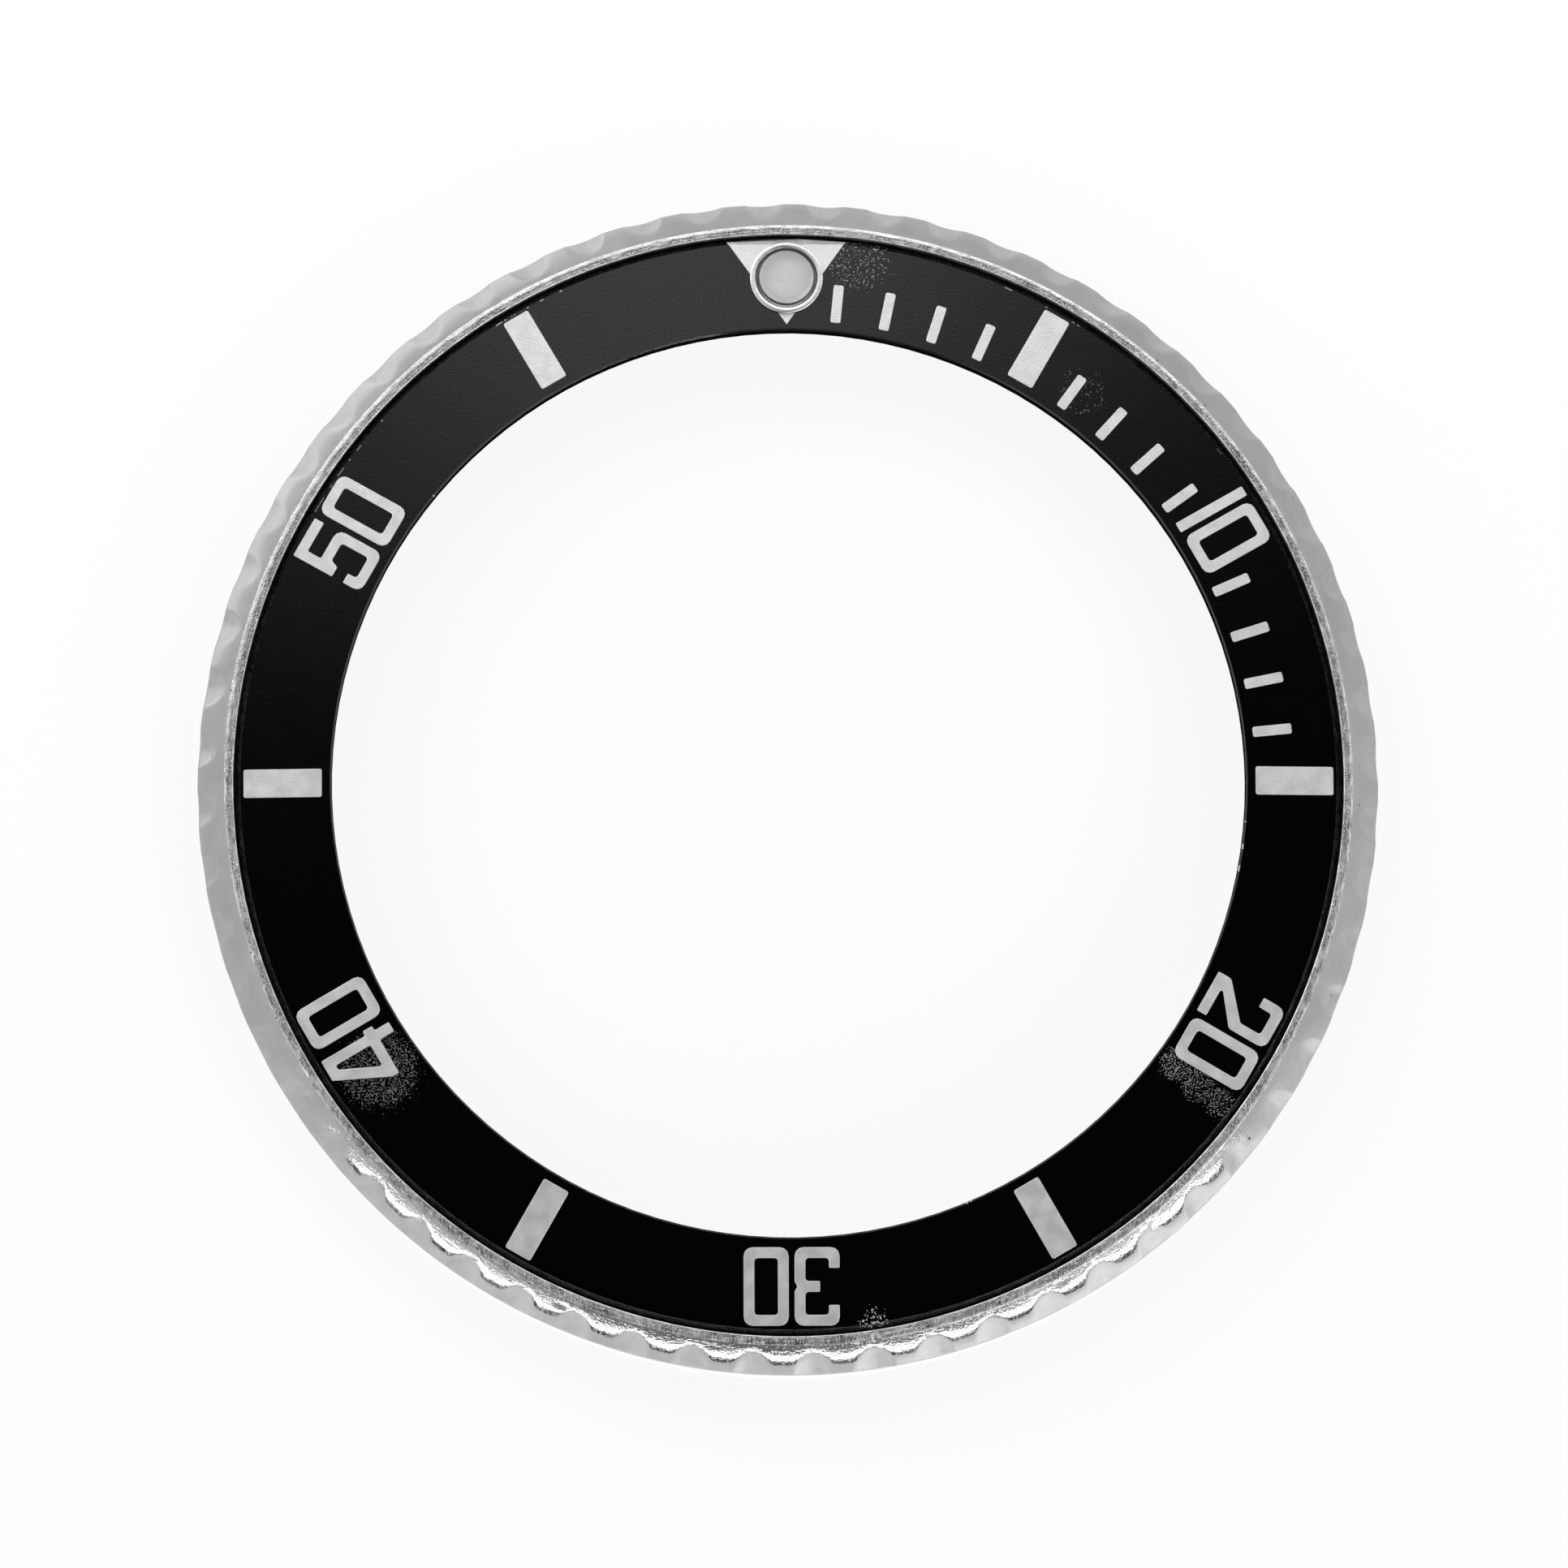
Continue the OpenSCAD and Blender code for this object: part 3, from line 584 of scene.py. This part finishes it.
half_columns = [("inner", s) for s in inner_shares] + [("edge", s) for s in edge_shares]
half_columns += [("outer", s) for s in outer_shares]
ring_columns = []
for scallop in range(scallops):
    ring_columns += [ring_column(scallop, 1, *c) for c in reversed(half_columns)]
    ring_columns += [ring_column(scallop, -1, *c) for c in half_columns[1:]]
    ring_columns += [ring_column(scallop, -1, "outer", 1.0)]
ring_columns.reverse()
ring_mesh = revolve("worn_bezel_ring", ring_profile, ring_columns)
bezel_ring = new_object("worn_bezel_ring", ring_mesh)


def worn_steel(name, tone, shine, gloss, lines, length, depth, scratched, dented):
    """Worn stainless steel: polished or brushed, with stains, short scratches and pits, and
    with fine dents near the lip."""
    metal = bpy.data.materials.new(name)
    tree = new_tree(metal)
    at = place(tree, ring_place)
    tool = place(tree, turned_lines, Lines=lines, Length=length)
    stain = place(tree, grain, Size=0.1)
    cells = add(tree, "TexVoronoi", {"Vector": at["Place"], "Scale": 1.4}).outputs
    lot = add(tree, "SeparateColor", {0: cells["Color"]}).outputs[0]
    pit = add(tree, "MapRange", {
        "Value": cells["Distance"], "From Min": 0.05, "From Max": 0.09,
        "To Min": 1.0, "To Max": 0.0})
    pit = calc(tree, "MULTIPLY", calc(tree, "GREATER_THAN", lot, 0.55), pit.outputs[0])
    drawn_out = add(tree, "VectorMath", {0: at["Place"], 1: (9.0, 1.2, 2.0)}, operation="MULTIPLY")
    hair = add(tree, "TexNoise", {
        "Vector": drawn_out.outputs[0], "Scale": 1.0, "Detail": 4.0, "Roughness": 0.65,
        "Distortion": 1.2}).outputs["Fac"]
    hair = calc(tree, "ABSOLUTE", calc(tree, "SUBTRACT", hair, 0.5))
    scratch = add(tree, "MapRange", {
        "Value": hair, "From Min": 0.0, "From Max": 0.012, "To Min": 1.0, "To Max": 0.0})
    scratch = calc(tree, "MULTIPLY", scratched, scratch.outputs[0])
    dark = calc(tree, "ADD", calc(tree, "MULTIPLY", pit, 0.45),
                calc(tree, "MULTIPLY", scratch, 0.3))
    tint = calc(tree, "MULTIPLY", blend(tree, tool["Streaks"], *tone),
                blend(tree, stain["Mottle"], 0.95, 1.02))
    tint = calc(tree, "MULTIPLY", tint, calc(tree, "SUBTRACT", 1.0, dark))
    worn_away = calc(tree, "ADD", calc(tree, "MULTIPLY", pit, 2.0), scratch)
    height = calc(tree, "SUBTRACT", tool["Height"], worn_away)
    near_lip = add(tree, "MapRange", {
        "Value": at["Radius"], "From Min": shoulder_r, "From Max": lip_r,
        "To Min": 0.12, "To Max": 1.0}).outputs[0]
    dents = calc(tree, "MULTIPLY", place(tree, grain, Size=0.085)["Height"], near_lip)
    surface = add(tree, "BsdfPrincipled", {
        "Base Color": grey(tree, tint),
        "Metallic": gloss,
        "Roughness": blend(tree, stain["Mottle"], *shine),
        "Normal": bump(tree, height, depth, bump(tree, dents, dented)),
    })
    add(tree, "OutputMaterial", {"Surface": surface.outputs[0]})
    return metal


polished, brushed, milled, hidden = range(4)
ring_mesh.materials.append(worn_steel(
    "polished ring steel", tone=(0.39, 0.43), shine=(0.05, 0.09), gloss=0.92,
    lines=5.0, length=2.0, depth=0.0012, scratched=0.25, dented=0.013))
ring_mesh.materials.append(worn_steel(
    "brushed lip steel", tone=(0.58, 1.0), shine=(0.22, 0.33), gloss=0.94,
    lines=9.0, length=0.4, depth=0.0055, scratched=0.7, dented=0.012))
ring_mesh.materials.append(worn_steel(
    "milled scallop steel", tone=(0.40, 0.44), shine=(0.20, 0.27), gloss=0.92,
    lines=4.0, length=0.5, depth=0.0016, scratched=0.3, dented=0.01))
ring_mesh.materials.append(base_steel)
# the brushing begins on the last rows of the lip's rounded edge
edge_rows = 3
lip_start = len(outside) - len(lip_flat) - len(lip_inner) - edge_rows
for face in ring_mesh.polygons:
    row = face.index // len(ring_columns)
    angle = math.radians(90 - first_scallop) - math.atan2(face.center.y, face.center.x)
    off = abs((angle + half_step) % (2 * half_step) - half_step)
    if row >= len(outside):
        face.material_index = hidden
    elif row >= lip_start:
        face.material_index = brushed
    elif edge_angles[row] > least_edge and off < edge_angles[row]:
        face.material_index = milled
    else:
        face.material_index = polished
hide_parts("bezel_ring")
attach(bezel_ring, "bezel")


# Ratchet ring and adhesive. The ratchet is cut steel, pressed into the skirt, with saw
# teeth for the clicks. A die-cut ring of double-sided film holds the insert on its seat.
ratchet_steel = turned_metal(
    "ratchet steel", tone=(0.38, 0.5), shine=(0.28, 0.4), lines=12.0, length=1.5, depth=0.003)
finish_nodes(ratchet_steel, "ratchet_ring")
film = bpy.data.materials.new("adhesive film")
tree = new_tree(film)
skin = place(tree, grain, Size=0.2)
surface = add(tree, "BsdfPrincipled", {
    "Base Color": add(tree, "Mix", {
        0: skin["Mottle"], 6: (0.74, 0.71, 0.6, 1), 7: (0.84, 0.82, 0.74, 1)},
        data_type="RGBA").outputs[2],
    "Roughness": blend(tree, skin["Mottle"], 0.45, 0.6),
    "Normal": bump(tree, skin["Height"], 0.004),
})
add(tree, "OutputMaterial", {"Surface": surface.outputs[0]})
finish_nodes(film, "insert_adhesive")


# Insert. A cone-shaped ring of aluminium, anodised black with a satin gloss. Its outer
# and inner edges are rubbed to bare metal in short dashes, and dust lies in a few patches.
# Beside 20 and 40 grey specks are painted glints of lamplight in its grain.
insert_in_r, insert_out_r = 15.40, 18.62

# Wear along a round edge at this radius: dashes of bare metal within this width
edge_wear, given, out = start_effect(
    "edge wear", {"Radius": 18.0, "Width": 0.05, "Dashes": 1.0, "Share": 0.5}, ["Mask"])
at = place(edge_wear, ring_place)
off = calc(edge_wear, "ABSOLUTE", calc(edge_wear, "SUBTRACT", at["Radius"], given["Radius"]))
near = calc(edge_wear, "LESS_THAN", calc(edge_wear, "DIVIDE", off, given["Width"]), 1.0)
per_turn = calc(edge_wear, "MULTIPLY", given["Dashes"], middle_r)
spin = add(edge_wear, "VectorMath", {0: at["Around"], "Scale": per_turn}, operation="SCALE")
patchy = add(edge_wear, "TexNoise", {
    "Vector": spin.outputs[0], "Scale": 1.0, "Detail": 3.0, "Roughness": 0.7}).outputs["Fac"]
broad = add(edge_wear, "TexNoise", {
    "Vector": at["Around"], "Scale": 3.0, "Detail": 1.0}).outputs["Fac"]
broad = calc(edge_wear, "MULTIPLY", calc(edge_wear, "SUBTRACT", broad, 0.5), 0.6)
bared = calc(edge_wear, "GREATER_THAN", calc(edge_wear, "ADD", patchy, broad),
             calc(edge_wear, "SUBTRACT", 1.0, given["Share"]))
feed(edge_wear, out["Mask"], calc(edge_wear, "MULTIPLY", bared, near))

# Specks of dust and tiny chips, and painted glints, within reach of a spot, both in millimetres
specks, given, out = start_effect(
    "specks", {"Centre": (0, 0, 0), "Reach": 1.0, "Size": 0.06, "Share": 0.4}, ["Mask"])
at = place(specks, ring_place)
off = add(specks, "VectorMath", {0: at["Place"], 1: given["Centre"]}, operation="DISTANCE")
close = add(specks, "MapRange", {
    "Value": calc(specks, "DIVIDE", off.outputs["Value"], given["Reach"]),
    "From Min": 0.5, "From Max": 1.0, "To Min": 1.0, "To Max": 0.0}).outputs[0]
dots = add(specks, "TexNoise", {
    "Vector": at["Place"], "Scale": calc(specks, "DIVIDE", 1.0, given["Size"]),
    "Detail": 1.0}).outputs["Fac"]
limit = calc(specks, "SUBTRACT", 1.0, calc(specks, "MULTIPLY", close, given["Share"]))
feed(specks, out["Mask"], calc(specks, "GREATER_THAN", dots, limit))

anodised = bpy.data.materials.new("black anodised aluminium")
tree = new_tree(anodised)
skin = place(tree, grain, Size=0.075)
outer_rub = place(
    tree, edge_wear, Radius=insert_out_r - 0.17, Width=0.022, Dashes=1.6, Share=0.36)["Mask"]
inner_rub = place(
    tree, edge_wear, Radius=insert_in_r + 0.03, Width=0.03, Dashes=1.2, Share=0.3)["Mask"]
rub = calc(tree, "MAXIMUM", outer_rub, inner_rub)
# patches of dust, and beside 20 and 40 of painted glints: centre, reach and size in
# millimetres, how thickly it lies, how light it is
dust_and_glint_patches = [
    ((2.5, 17.8, 3.0), 1.8, 0.07, 0.38, 0.42),
    ((10.0, 13.3, 3.0), 1.5, 0.09, 0.35, 0.20),
    # beside 40 here, and beside 20 in the next three, the specks are painted glints of lamplight
    ((-13.8, -9.7, 3.1), 2.2, 0.055, 0.44, 0.26),
    ((13.0, -9.6, 3.1), 1.0, 0.05, 0.43, 0.50),
    ((13.7, -10.3, 3.1), 1.0, 0.05, 0.42, 0.45),
    ((14.4, -10.9, 3.1), 0.9, 0.05, 0.42, 0.40),
    ((2.8, -18.3, 3.0), 0.9, 0.08, 0.42, 0.90),
]
dust_and_glints = 0.0
for centre, reach, size, share, light in dust_and_glint_patches:
    patch = place(tree, specks, Centre=centre, Reach=reach, Size=size, Share=share)["Mask"]
    dust_and_glints = calc(tree, "MAXIMUM", dust_and_glints, calc(tree, "MULTIPLY", patch, light))
# bare metal, dust and the painted glints all lighten the black
bare_and_glints = calc(tree, "MAXIMUM", rub, dust_and_glints)
surface = add(tree, "BsdfPrincipled", {
    "Base Color": grey(tree, blend(tree, bare_and_glints, 0.0012, 0.5)),
    "Metallic": rub,
    "IOR": 1.62,
    "Roughness": blend(tree, skin["Mottle"], 0.05, 0.09),
    "Normal": bump(tree, skin["Height"], 0.0016),
})
add(tree, "OutputMaterial", {"Surface": surface.outputs[0]})
finish_nodes(anodised, "insert_plate")

# the wall of the hole mirrors nothing
dull_black = bpy.data.materials.new("dull black wall")
tree = new_tree(dull_black)
skin = place(tree, grain, Size=0.05)
surface = add(tree, "BsdfPrincipled", {
    "Base Color": grey(tree, blend(tree, skin["Mottle"], 0.001, 0.004)),
    "Roughness": blend(tree, skin["Mottle"], 0.8, 0.95),
    "Specular IOR Level": 0.0,
    "Normal": bump(tree, skin["Height"], 0.002),
})
add(tree, "OutputMaterial", {"Surface": surface.outputs[0]})
insert_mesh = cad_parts["insert_plate"].data
insert_mesh.materials.append(dull_black)
for face in insert_mesh.polygons:
    if face.center.xy.length < (insert_in_r + 0.01) * MM:
        face.material_index = 1


# Markings. The numerals, bars, ticks and triangle are silver, matte and finely grained,
# and fill shallow recesses of the insert. Their edges are slightly rounded.
silver = bpy.data.materials.new("matte silver")
tree = new_tree(silver)
skin = place(tree, grain, Size=0.06)
surface = add(tree, "BsdfPrincipled", {
    "Base Color": grey(tree, calc(tree, "MULTIPLY", blend(tree, skin["Height"], 0.80, 1.0),
                                  blend(tree, skin["Mottle"], 0.96, 1.02))),
    "Metallic": 0.82,
    "Roughness": blend(tree, skin["Mottle"], 0.39, 0.45),
    "Normal": bump(tree, skin["Height"], 0.006),
})
add(tree, "OutputMaterial", {"Surface": surface.outputs[0]})
marking_names = [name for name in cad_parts
                 if name.startswith(("bar_", "ticks_", "numeral_", "marker_"))]
edge_bevel = 0.03
for name in marking_names:
    shape = bmesh.new()
    shape.from_mesh(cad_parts[name].data)
    bmesh.ops.remove_doubles(shape, verts=shape.verts, dist=1e-7)
    bmesh.ops.dissolve_limit(shape, angle_limit=0.12, verts=shape.verts, edges=shape.edges)
    rim = [edge for edge in shape.edges if len(edge.link_faces) == 2
           and max(face.normal.z for face in edge.link_faces) > 0.8
           and abs(edge.link_faces[0].normal.z - edge.link_faces[1].normal.z) > 0.5]
    bmesh.ops.bevel(shape, geom=rim, offset=edge_bevel * MM, offset_type="OFFSET", segments=2,
                    profile=0.5, affect="EDGES", clamp_overlap=True)
    mesh = bpy.data.meshes.new("silver_" + name)
    shape.to_mesh(mesh)
    shape.free()
    mesh.shade_flat()
    mesh.materials.append(silver)
    piece = new_object("silver_" + name, mesh)
    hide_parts(name)
    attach(piece, "bezel")


# Pearl. A bright turned cup is pressed through the insert. A pellet of luminous compound
# lies in it under a clear dome, which bulges above the polished rim. The pearl's middle
# lies on the insert's sloping face.
pearl_out, pearl_up, insert_slope = 17.2, 3.0323, 5.323
pearl_place = Matrix.Translation((0, pearl_out * MM, pearl_up * MM)) @ Matrix.Rotation(
    math.radians(-insert_slope), 4, "X")
pearl_columns = 96
dome_r, dome_ball_r, dome_top = 0.93, 5.2, 0.33


def pearl_piece(name, profile, material, node):
    """Spins a profile round the pearl's own axis and sets it in the insert."""
    columns = [lambda row, r, z, a=2 * math.pi * i / pearl_columns: (a, r, z)
               for i in range(pearl_columns)]
    mesh = revolve(name, profile, columns)
    shape = bmesh.new()
    shape.from_mesh(mesh)
    bmesh.ops.remove_doubles(shape, verts=shape.verts, dist=1e-7)
    bmesh.ops.recalc_face_normals(shape, faces=shape.faces)
    shape.transform(pearl_place)
    shape.to_mesh(mesh)
    shape.free()
    mesh.materials.append(material)
    piece = new_object(name, mesh)
    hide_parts(node)
    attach(piece, "bezel")
    return piece


cup_metal = turned_metal(
    "bright turned cup", tone=(0.88, 0.96), shine=(0.24, 0.34),
    lines=10.0, length=1.0, depth=0.001)
cup_profile = rounded([
    (0.0, -0.71, 0, 0), (1.12, -0.71, 0.04, 3), (1.12, 0.01, 0.01, 2), (1.24, 0.01, 0.02, 2),
    (1.24, 0.13, 0.055, 5), (1.055, 0.13, 0.02, 3), (1.045, -0.22, 0.02, 2),
    (0.955, -0.22, 0.01, 2), (0.945, -0.59, 0.02, 2), (0.0, -0.59, 0, 0)])
pearl_cup = pearl_piece("turned_pearl_cup", cup_profile, cup_metal, "pearl_cup")
# inside the rim the cup is rougher and painted darker: painted shade in the gap round the dome
seat_r = 1.06
painted_shade_seat = turned_metal(
    "painted shade cup seat", tone=(0.26, 0.36), shine=(0.4, 0.5), lines=14.0, length=1.0, depth=0.002)
pearl_cup.data.materials.append(painted_shade_seat)
for face in pearl_cup.data.polygons:
    if (pearl_place.inverted() @ face.center).xy.length < seat_r * MM:
        face.material_index = 1

lume = bpy.data.materials.new("luminous compound")
tree = new_tree(lume)
skin = place(tree, grain, Size=0.05)
surface = add(tree, "BsdfPrincipled", {
    "Base Color": grey(tree, blend(tree, skin["Mottle"], 0.91, 0.97)),
    "Roughness": blend(tree, skin["Mottle"], 0.7, 0.85),
    # a faint glow: painted light that brightens the pellet under the dome
    "Emission Color": (1, 1, 1, 1),
    "Emission Strength": 0.1,
    "Normal": bump(tree, skin["Height"], 0.008),
})
add(tree, "OutputMaterial", {"Surface": surface.outputs[0]})
pearl_piece("luminous_pellet", rounded([
    (0.0, -0.58, 0, 0), (0.93, -0.58, 0.02, 2), (0.93, -0.29, 0.03, 3), (0.0, -0.285, 0, 0)]),
    lume, "pearl_lume")

clear = bpy.data.materials.new("clear dome")
tree = new_tree(clear)
haze = place(tree, grain, Size=0.3)
surface = add(tree, "BsdfPrincipled", {
    "Base Color": (0.96, 0.96, 0.96, 1),
    "Transmission Weight": 1.0,
    "IOR": 1.5,
    "Roughness": blend(tree, haze["Mottle"], 0.03, 0.06),
})
add(tree, "OutputMaterial", {"Surface": surface.outputs[0]})
dome_edge_z = dome_top - dome_r ** 2 / 2 / dome_ball_r
dome_foot = [Vector(p) for p in (
    (0.0, -0.27), (0.90, -0.27), (0.92, -0.262), (dome_r, -0.24), (dome_r, -0.02))]
dome_cap = []
for i in range(11):
    r = 0.72 * (1 - i / 10)
    dome_cap.append(Vector((r, dome_top - r * r / 2 / dome_ball_r)))
dome_shoulder = arc((dome_r, dome_edge_z), (dome_r, -0.2), dome_cap[0], 0.16, 9)
pearl_piece("clear_dome", dome_foot + dome_shoulder + dome_cap, clear, "pearl_dome")
